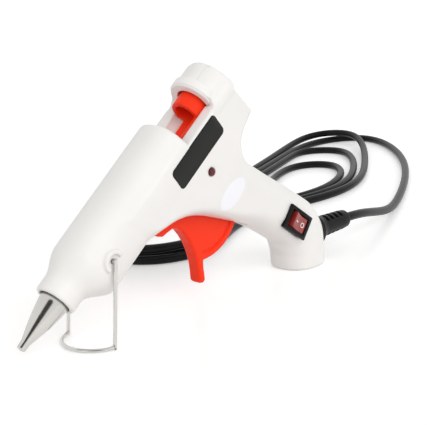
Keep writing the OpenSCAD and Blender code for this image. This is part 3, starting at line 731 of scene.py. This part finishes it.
def plate(flat, y, half, r):
    """Field of a flat outline's distance given thickness, its edges rounded by r."""
    a, b = flat + r, np.abs(y) - half + r
    return np.hypot(np.maximum(a, 0), np.maximum(b, 0)) + np.minimum(np.maximum(a, b), 0) - r


def trigger_field(x, y, z):
    """Fan and finger lever, with the hub, the arm and its head that drives the carriage."""
    flat = outline_distance([*LEVER, *FAN, *TRIGGER_BACK], x, z)
    from_fan = np.hypot(x - FAN_C[0], z - FAN_C[1])
    from_rim = from_fan - FAN_R
    front, rear = RIM_SPAN
    band = most(np.abs(from_rim + RIM_W / 2) - RIM_W / 2, front - x, x - rear, z - RIM_TOP)
    groove = most(
        np.abs(from_rim + RIM_W + GROOVE_HALF) - GROOVE_HALF, GROOVE_FROM - x, x - rear, z - GROOVE_TOP
    )
    body = plate(flat, y, TRIGGER_HALF, 1.1)
    body = np.maximum(body, -np.maximum(groove, TRIGGER_HALF - GROOVE_DEPTH - np.abs(y)))
    body = np.minimum(body, plate(band, y, RIM_HALF, 0.5))
    lean_c, lean_s = math.cos(SQUEEZE / 2), math.sin(SQUEEZE / 2)
    along = (x - PIVOT[0]) * lean_s + (z - PIVOT[1]) * lean_c
    beside = (x - PIVOT[0]) * lean_c - (z - PIVOT[1]) * lean_s
    arm = most(np.abs(beside) - 1, -along, along - ARM_R, np.abs(y) - ARM_HALF)
    head = most(np.hypot(along - ARM_R, beside) - HEAD_R, np.abs(y) - ARM_HALF)
    hub = most(from_pin(x, z, PIVOT) - HUB_R, np.abs(y) - TRIGGER_HALF)
    return np.maximum(least(body, hub, arm, head), PIN_R - from_pin(x, z, PIVOT))


SMALL_STEP = 0.4
points, quads, _ = surface_nets(trigger_field, (64.5, -4.2, -57), (102, 4.4, -4), SMALL_STEP)
trigger = mesh_piece("trigger_moulding", world(points), quads, abs_orange, "trigger")
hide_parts("trigger")


# Stick carriage: pusher ring, cradle along the near side, fork for the trigger's arm
CARRIAGE_R = 6.2
BORE_R = 4.2
RING_X = 117.25
RING_HALF = 6.25
CRADLE_SPAN = (82, 113)
CRADLE_FAR = 2.9
GRIPPER_X = 101.6
FORK_X = PIVOT[0] + ARM_R * math.sin(SQUEEZE / 2)
FORK_HALF = HEAD_R + 0.3


def box_field(centre, half, *axes):
    """Where all of |axis - centre| - half are below zero: a box along the given axes."""
    return most(*(np.abs(a - c) - h for a, c, h in zip(axes, centre, half)))


def carriage_field(x, y, z):
    """Ring and cradle round the stick, with the fork below and a slot for the gripper."""
    r = np.hypot(y, z)
    band = np.abs(r - (CARRIAGE_R + BORE_R) / 2) - (CARRIAGE_R - BORE_R) / 2
    ring = plate(band, x - RING_X, RING_HALF, 0.7)
    front, rear = CRADLE_SPAN
    round_under = soft_max(r - CARRIAGE_R, z + 1, 0.8)
    cradle = most(round_under, BORE_R - r, front - x, x - rear, y - CRADLE_FAR)
    fork = box_field((FORK_X, 0, -7.2), (FORK_HALF + 1.8, 2.5, 2.6), x, y, z)
    body = least(ring, cradle, np.maximum(fork, BORE_R - r))
    body = np.maximum(body, -box_field((FORK_X, 0, -8.7), (FORK_HALF, 5, 3.3), x, y, z))
    return np.maximum(body, -box_field((GRIPPER_X, 0, -5.5), (1.4, 2.6, 2.5), x, y, z))


points, quads, _ = surface_nets(carriage_field, (81, -7, -10.6), (124.6, 7, 7), SMALL_STEP)
carriage = mesh_piece("stick_carriage_moulding", world(points), quads, abs_orange, "carriage")
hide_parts("stick_carriage")

# Wire stand: one bent wire, legs down to the floor and a bowed foot
STAND_REACH = 31.3
STAND_BOW = 10.0
SPIGOT_Y = -9.4
BOW_STEPS = 12
stand_top = world([STAND_HOLE[0], 0, STAND_HOLE[1]]) / MM
foot_x = STAND_REACH - ORIGIN_X
bow_r = (STAND_HALF**2 + STAND_BOW**2) / (2 * STAND_BOW)
bow_half = math.asin(STAND_HALF / bow_r)
bow = np.array(
    [
        [foot_x - STAND_BOW + bow_r + bow_r * math.cos(a), -bow_r * math.sin(a), WIRE_R]
        for a in math.pi + bow_half * (1 - np.arange(BOW_STEPS + 1) / (BOW_STEPS / 2))
    ]
)
foot = np.array([foot_x, -STAND_HALF, WIRE_R])
leg = foot - stand_top - [0, -STAND_HALF, 0]
leg /= np.linalg.norm(leg)
near = np.array(
    [
        stand_top + [0, SPIGOT_Y, 0],
        stand_top + [0, 1 - STAND_HALF, 0],
        stand_top + [0, 0.3 - STAND_HALF, 0] + leg * 0.3,
        stand_top + [0, -STAND_HALF, 0] + leg,
        foot - leg * 2,
        foot - leg * 0.5 + (bow[-2] - bow[-1]) * 0.1,
    ]
)
far = near[::-1] * [1, -1, 1]
wire = through(np.vstack([near, bow[-2:0:-1], far]), 6) * MM
wire[:, 2] = np.maximum(wire[:, 2], WIRE_R * MM)
verts, faces = tube(wire, WIRE_R * MM, 14, ref=(1, 0, -1))
stand = mesh_piece("bent_wire_stand", verts, faces, steel_wire, "stand")
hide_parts("wire_stand")


# Nozzle: turned metal with a faint swell, its bore and its spigot inside the nose
def lathe(profile, sides):
    """Turns (radius, x) points about the stick axis, closed on itself along the profile."""
    profile = np.asarray(profile, float)
    a = 2 * np.pi * np.arange(sides) / sides
    r, x = profile[:, :1], profile[:, 1:]
    points = np.stack([x + 0 * a, r * np.cos(a), r * np.sin(a)], -1)
    return points.reshape(-1, 3), lattice(len(profile), sides)


t = np.linspace(0, 1, 24)
cone = np.column_stack([mix(1.85, 5.7, t) + 0.3 * np.sin(np.pi * t), mix(3, 19.6, t)])
nozzle_profile = np.vstack(
    [
        [[0.8, 5], [0.8, 0.15], [0.95, 0], [1.4, 0], [1.6, 0.1], [1.75, 0.4]],
        cone,
        [[5.7, 21.4], [5.6, 21.6], [5.1, 21.6], [5.1, 30], [3.95, 30], [3.95, 24], [2, 20], [0.8, 5]],
    ]
)
points, quads = lathe(nozzle_profile, 72)
nozzle = mesh_piece("turned_nozzle", world(points), quads, plated, "gun")
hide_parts("nozzle")


# Bare label and sticker, laid on the near side of the shell
BISECTIONS = 30


def near_side(x, z, lift):
    """Points on the near side's outer surface over gun-frame places, raised by lift in mm."""
    low, high = np.full(x.shape, 4.0), np.full(x.shape, 14.5)
    for _ in range(BISECTIONS):
        y = (low + high) / 2
        inside = soft_max(outer_field(x, y, z), -most(WINDOW_X - x, LEDGE_Z - z), LEDGE_ROUND) < 0
        low, high = np.where(inside, y, low), np.where(inside, high, y)
    return world(np.stack([x, -low - lift, z], -1))


def sheet(name, centre, turn, half_l, half_w, corner, lift, finish):
    """A thin film on the near side: an oval where corner is none, else a rounded rectangle. Rows lie
    across it, each as long as the outline leaves there."""
    v = np.sin(np.linspace(-np.pi / 2, np.pi / 2, 25)) * half_w
    if corner is None:
        reach = half_l * np.sqrt(np.maximum(1 - (v / half_w) ** 2, 0))
    else:
        short = np.maximum(np.abs(v) - half_w + corner, 0)
        reach = half_l - corner + np.sqrt(np.maximum(corner**2 - short**2, 0))
    u = np.linspace(-1, 1, 41)[None, :] * reach[:, None]
    v = v[:, None] + 0 * u
    x = centre[0] + u * math.cos(turn) - v * math.sin(turn)
    z = centre[1] + u * math.sin(turn) + v * math.cos(turn)
    points = near_side(x, z, lift)
    return mesh_piece(name, points.reshape(-1, 3), lattice(*x.shape, wrap=False), finish, "gun")


FILM_T = 0.06
sheet("bare_label", (98.6, -5.8), math.radians(-0.8), 15.4, 4.9, 2.0, FILM_T, label_dark)
sheet("bare_sticker", (99.8, -32.6), math.radians(-5), 8.4, 4.3, None, FILM_T, sticker_pale)


# Rocker marks: a bar and a ring on its two faces
ROCKER_Y = -8.6
ROCKER_TILT = math.radians(11)


def on_switch(u, v, out):
    """Switch frame (along, across, outwards from the rocker's axis) to world, at the rest tilt."""
    c, s = math.cos(ROCKER_TILT), math.sin(ROCKER_TILT)
    along, y = u * c + out * s, ROCKER_Y + u * s - out * c
    x = SWITCH_AT[0] + along * math.cos(SWITCH_TURN) + v * math.sin(SWITCH_TURN)
    z = SWITCH_AT[1] - along * math.sin(SWITCH_TURN) + v * math.cos(SWITCH_TURN)
    return world(np.stack([x, y, z], -1))


def rocker_face(u):
    """Height of the rocker's face over its axis at a place along it."""
    return np.interp(np.abs(u), [0, 2.5, 4.9], [3.5, 3.8, 4.4]) + 0.04


def rocker_mark(name, u, v, faces):
    """A mark of ink over places on the rocker's face."""
    points = on_switch(u, v, rocker_face(u)).reshape(-1, 3)
    mesh_piece(name, points, faces, mark_white, "rocker")


MARK_SIDES = 40
RING_MARK_AT = 2.7
BAR_MARK_AT = -2.1
a = np.linspace(0, 2 * np.pi, MARK_SIDES, endpoint=False)
rings = np.array([0.75, 1.15])[:, None]
rocker_mark(
    "rocker_ring_mark", RING_MARK_AT + rings * np.cos(a), rings * np.sin(a), lattice(2, MARK_SIDES)
)
u, v = np.meshgrid(BAR_MARK_AT + np.linspace(-1.1, 1.1, 6), [-0.3, 0.3], indexing="ij")
rocker_mark("rocker_bar_mark", u, v, lattice(6, 2, wrap=False))


# Switch and plug: merged copies of their solids, with moulded edges instead of sharp ones
SHARP_ANGLE = math.radians(40)


def softened(name, node, width, finish, body):
    """A merged copy of a CAD node, its long sharp edges rounded over a width in millimetres."""
    form = bmesh.new()
    form.from_mesh(nodes[node].data)
    bmesh.ops.remove_doubles(form, verts=form.verts, dist=1e-6)
    bmesh.ops.dissolve_limit(form, angle_limit=math.radians(0.5), verts=form.verts, edges=form.edges)
    weight = form.edges.layers.float.new("bevel_weight_edge")
    for edge in form.edges:
        sharp = edge.calc_face_angle(0) > SHARP_ANGLE
        edge[weight] = float(sharp and edge.calc_length() > 4 * width * MM)
    mesh = bpy.data.meshes.new(name)
    form.to_mesh(mesh)
    form.free()
    mesh.shade_smooth()
    mesh.materials.append(finish)
    obj = bpy.data.objects.new(name, mesh)
    bpy.context.scene.collection.objects.link(obj)
    edges = obj.modifiers.new("moulded_edges", "BEVEL")
    edges.width = width * MM
    edges.segments = 3
    edges.limit_method = "WEIGHT"
    edges.use_clamp_overlap = False
    edges.harden_normals = True
    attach(obj, body)
    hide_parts(node)
    return obj


softened("rounded_switch_bezel", "switch_body", 0.2, nylon_black, "gun")
softened("rounded_switch_rocker", "switch_rocker", 0.4, rocker_red, "rocker")
plug = softened("rounded_plug_body", "plug_body", 0.9, pvc_black, "gun")


# Strain relief: a flared skirt on the heel, then a tapered sleeve with slots above and below the cord
RELIEF_X = FOOT_REACH + HEEL_R - 0.02
RELIEF_CORE = CORD_R + 0.6
SLOTS_FROM = 6
SLOT_PITCH = (RELIEF_L - 9.3) / 4
SLEEVE_X = np.array([-3, 0.5, 1.5, 2.6, 4.0, 5.8, RELIEF_L - 3.6, RELIEF_L - 0.8, RELIEF_L])
SLEEVE_R = np.array([7.5, 7.4, 6.7, 5.8, 5.1, 4.8, 4.3, 4.0, 3.4])


def relief_field(x, y, z):
    """Turned sleeve about the cord's axis, in millimetres from the handle's rearmost point. It is cut
    by the shell's own surface and by four slots on each side of the core."""
    sleeve = most(np.hypot(y, z) - np.interp(x, SLEEVE_X, SLEEVE_R), x - RELIEF_L, -3 - x)
    into = np.mod(x - SLOTS_FROM, SLOT_PITCH) - SLOT_PITCH * 0.24
    slots = most(
        np.abs(into) - SLOT_PITCH * 0.24,
        RELIEF_CORE - np.abs(z),
        SLOTS_FROM - 0.1 - x,
        x - SLOTS_FROM - 3.6 * SLOT_PITCH,
    )
    place = gun(x + RELIEF_X, z + RELIEF_Z)
    return most(soft_max(sleeve, -slots, 0.3), -outer_field(place[0], y, place[1]))


points, quads, _ = surface_nets(relief_field, (-3.4, -8.6, -8.6), (RELIEF_L + 1, 8.7, 8.7), 0.3)
placed = (points + [RELIEF_X - ORIGIN_X, 0, RELIEF_Z]) * MM
relief = mesh_piece("slotted_strain_relief", placed, quads, pvc_black, "gun")
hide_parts("strain_relief")

# Cord route, the same points as in the part's source, in millimetres
LAP_IN = (1, 0, 2)
LAP_OUT = (0, 1, 2)
STRAND_GAP = 4.85
UPPER_RUN = np.array([[216, 150], [164, 129.5], [106, 112.5]])
UPPER_STEP = np.array([2, -4.9])
LOWER_RUN = np.array([[80, 55], [98, 64.5], [122, 69], [148, 64], [176, 60], [207, 70]])
LOWER_STEP = np.array([[-2.5, 4.6], [-1.5, 4.8], [0, 5], [0, 5], [-1, 5.2], [-3.5, 6]])
LEFT_END = np.array([50, 73])
LEFT_R = 30.5
RIGHT_END = np.array([[266, 147], [242, 131], [210.5, 109.5]])
RIGHT_R = (23, 18.5, 15)
RIGHT_IN = (24, 24, 12)
OVER = 4.9
LEFT_CLIMB = (0, OVER, 0)
RIGHT_CLIMB = (OVER, 0, 0)
LEAD_DOWN = [[119, 2, 11.4], [132, 6, 8.2], [146, 10.5, 4.8], [160, 16, 2.6]]
LEAD_FLAT = [[178, 25], [214, 46], [246, 69], [267, 88], [285, 108], [297, 126], [301, 142],
             [294, 154], [279, 160], [262, 160], [243, 155]]
TAIL_FLAT = [[197, 122], [182, 115]]
TAIL_UP = [[171, 108.5, 2.5], [163.5, 101.5, 4], [156.5, 96.2, 5.3], [152, 95.5, 5.5]]


def polar(centre, radius, degrees):
    """Point at a distance and an angle from a centre."""
    a = math.radians(degrees)
    return np.asarray(centre) + radius * np.array([math.cos(a), math.sin(a)])


def on_floor(point, lift=0.0):
    """Route point of cord that lies on the floor, or that much above it."""
    return [point[0], point[1], CORD_R + lift]


def lap(k):
    """One lap of the hank: upper side, left end, lower side and right end, with the climbs over
    other strands at its two ends."""
    i, o, left, right = LAP_IN[k], LAP_OUT[k], LEFT_CLIMB[k], RIGHT_CLIMB[k]
    low = LOWER_RUN + o * LOWER_STEP
    pre = polar(RIGHT_END[k], RIGHT_R[k], -44) - RIGHT_IN[k] * polar((0, 0), 1, 46)
    upper = [on_floor(q + i * UPPER_STEP, left * h) for q, h in zip(UPPER_RUN, (0, 0, 0.35))]
    turn = [
        on_floor(
            polar(LEFT_END, LEFT_R - STRAND_GAP * (i + (o - i) * j / 5), 106 + 38 * j), left * h
        )
        for j, h in enumerate((0.85, 1, 1, 1, 1, 0.8))
    ]
    lower = [on_floor(q, 0.35 * left if j == 0 else 0) for j, q in enumerate(low)]
    run_in = [on_floor((low[5] + pre) / 2), on_floor(pre, 0.12 * right)]
    back = [
        on_floor(polar(RIGHT_END[k], RIGHT_R[k], 36 * j - 44), right * h)
        for j, h in enumerate((0.8, 1, 1, 0.7, 0.25))
    ]
    return upper + turn + lower + run_in + back


lead_start = np.array([RELIEF_X + RELIEF_L - ORIGIN_X, 0, RELIEF_Z])
lead = [lead_start, lead_start + [4.5, 0, 0], *LEAD_DOWN, *map(on_floor, LEAD_FLAT)]
tail = [*map(on_floor, TAIL_FLAT), *TAIL_UP]
route = through(np.array([*lead, *lap(0), *lap(1), *lap(2), *tail]), 2)
route[:, 2] = np.maximum(route[:, 2], CORD_R)
for _ in range(3):
    route[1:-1] = (route[:-2] + 2 * route[1:-1] + route[2:]) / 4
route = through(route, 4) * MM

verts, faces = tube(route, CORD_R * MM, 16)
cord = mesh_piece("power_cord_run", verts, faces, pvc_black, "gun")
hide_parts("power_cord", "cord_hank")

# Stage: a pale glossy table, soft light and the camera at the photo's angle


def camera_rays(mat):
    """1 where the camera, a mirror or a clear part looks straight at this surface, else 0."""
    ray = add(mat, "LightPath").outputs
    out = ray["Is Camera Ray"]
    for kind in ("Is Glossy Ray", "Is Transmission Ray"):
        out = add(mat, "Math", None, {0: out, 1: ray[kind]}, operation="MAXIMUM").outputs[0]
    return out


TABLE_GLOW = 0.3
TABLE_HALF = 6.0
table_mat, table_shader = new_material(
    "pale_table_laminate", Base_Color=srgb("#F4F3F2"), Roughness=0.32, Specular_IOR_Level=0.35
)
glow = add(
    table_mat, "Math", {1: TABLE_GLOW}, {0: camera_rays(table_mat)}, operation="MULTIPLY"
)
table_shader.inputs["Emission Color"].default_value = (1, 1, 1, 1)
join(table_mat, glow.outputs[0], table_shader.inputs["Emission Strength"])
mesh = bpy.data.meshes.new("table")
corners = [(x * TABLE_HALF, y * TABLE_HALF, 0) for x, y in ((-1, -1), (1, -1), (1, 1), (-1, 1))]
mesh.from_pydata(corners, [], [(0, 1, 2, 3)])
mesh.materials.append(table_mat)
table = bpy.data.objects.new("table", mesh)
bpy.context.scene.collection.objects.link(table)

SKY_LEVEL = 0.53
MIRROR_LEVEL = 1.0
CARD_TOWARD = (-0.70, -0.50, 0.51)
CARD_EDGE = {"From Min": 0.9, "From Max": 0.965, "To Min": 1.0, "To Max": 0.06}
sky = bpy.data.worlds.new("studio")
sky.use_nodes = True
bpy.context.scene.world = sky
back = sky.node_tree.nodes["Background"]
place = add(sky, "TexCoord").outputs["Generated"]
# A dark card beside the camera gives bright metal its dark streak
card = add(sky, "VectorMath", {1: CARD_TOWARD}, {0: place}, operation="DOT_PRODUCT")
shade = add(
    sky, "MapRange", CARD_EDGE, {"Value": card.outputs["Value"]}, interpolation_type="SMOOTHSTEP"
).outputs["Result"]
seen = add(
    sky, "MapRange", {"To Min": SKY_LEVEL, "To Max": MIRROR_LEVEL}, {"Value": camera_rays(sky)}
).outputs["Result"]
level = add(sky, "Math", None, {0: shade, 1: seen}, operation="MULTIPLY")
back.inputs["Color"].default_value = (1, 1, 1, 1)
join(sky, level.outputs[0], back.inputs["Strength"])


def soft_sun(name, toward, strength, spread):
    """A broad, even light from a direction, its disc spread over that many degrees."""
    lamp = bpy.data.lights.new(name, "SUN")
    lamp.energy = strength
    lamp.angle = math.radians(spread)
    obj = bpy.data.objects.new(name, lamp)
    bpy.context.scene.collection.objects.link(obj)
    obj.visible_glossy = False
    d = np.array(toward, float)
    obj.rotation_euler = (
        math.atan2(math.hypot(d[0], d[1]), -d[2]),
        0,
        math.atan2(d[1], d[0]) - math.pi / 2,
    )


soft_sun("key", (0.28, 0.8, -0.53), 1.2, 50)
soft_sun("fill", (-0.45, 0.8, -0.35), 0.46, 60)
soft_sun("side", (0.85, 0.1, -0.5), 0.5, 60)

# Camera: the photo's angle, worked out from the gun's own outline
VIEW_TURN = math.radians(44.28)
VIEW_ROLL = math.radians(-3.78)
VIEW_RISE = math.radians(14.45)
VIEW_DISTANCE = 463.61
VIEW_AIM = np.array([19.547, 0, 33.91])
FOCAL_PX = 1151.21
PHOTO_PX = 427
SENSOR = 36
to_eye = np.array(
    [
        -math.cos(VIEW_RISE) * math.sin(VIEW_TURN),
        -math.cos(VIEW_RISE) * math.cos(VIEW_TURN),
        math.sin(VIEW_RISE),
    ]
)
level_right = np.array([math.cos(VIEW_TURN), -math.sin(VIEW_TURN), 0])
level_up = np.cross(to_eye, level_right)
roll_c, roll_s = math.cos(VIEW_ROLL), math.sin(VIEW_ROLL)
cam = bpy.data.cameras.new("photo_camera")
cam.sensor_fit = "HORIZONTAL"
cam.sensor_width = SENSOR
cam.lens = SENSOR * FOCAL_PX / PHOTO_PX
cam.clip_start = 0.01
eye = bpy.data.objects.new("photo_camera", cam)
bpy.context.scene.collection.objects.link(eye)
pose = np.eye(4)
pose[:3, 0] = roll_c * level_right + roll_s * level_up
pose[:3, 1] = roll_c * level_up - roll_s * level_right
pose[:3, 2] = to_eye
pose[:3, 3] = (VIEW_AIM + VIEW_DISTANCE * to_eye) * MM
eye.matrix_world = Matrix(pose.tolist())
bpy.context.scene.camera = eye

bpy.context.scene.view_settings.view_transform = "Standard"
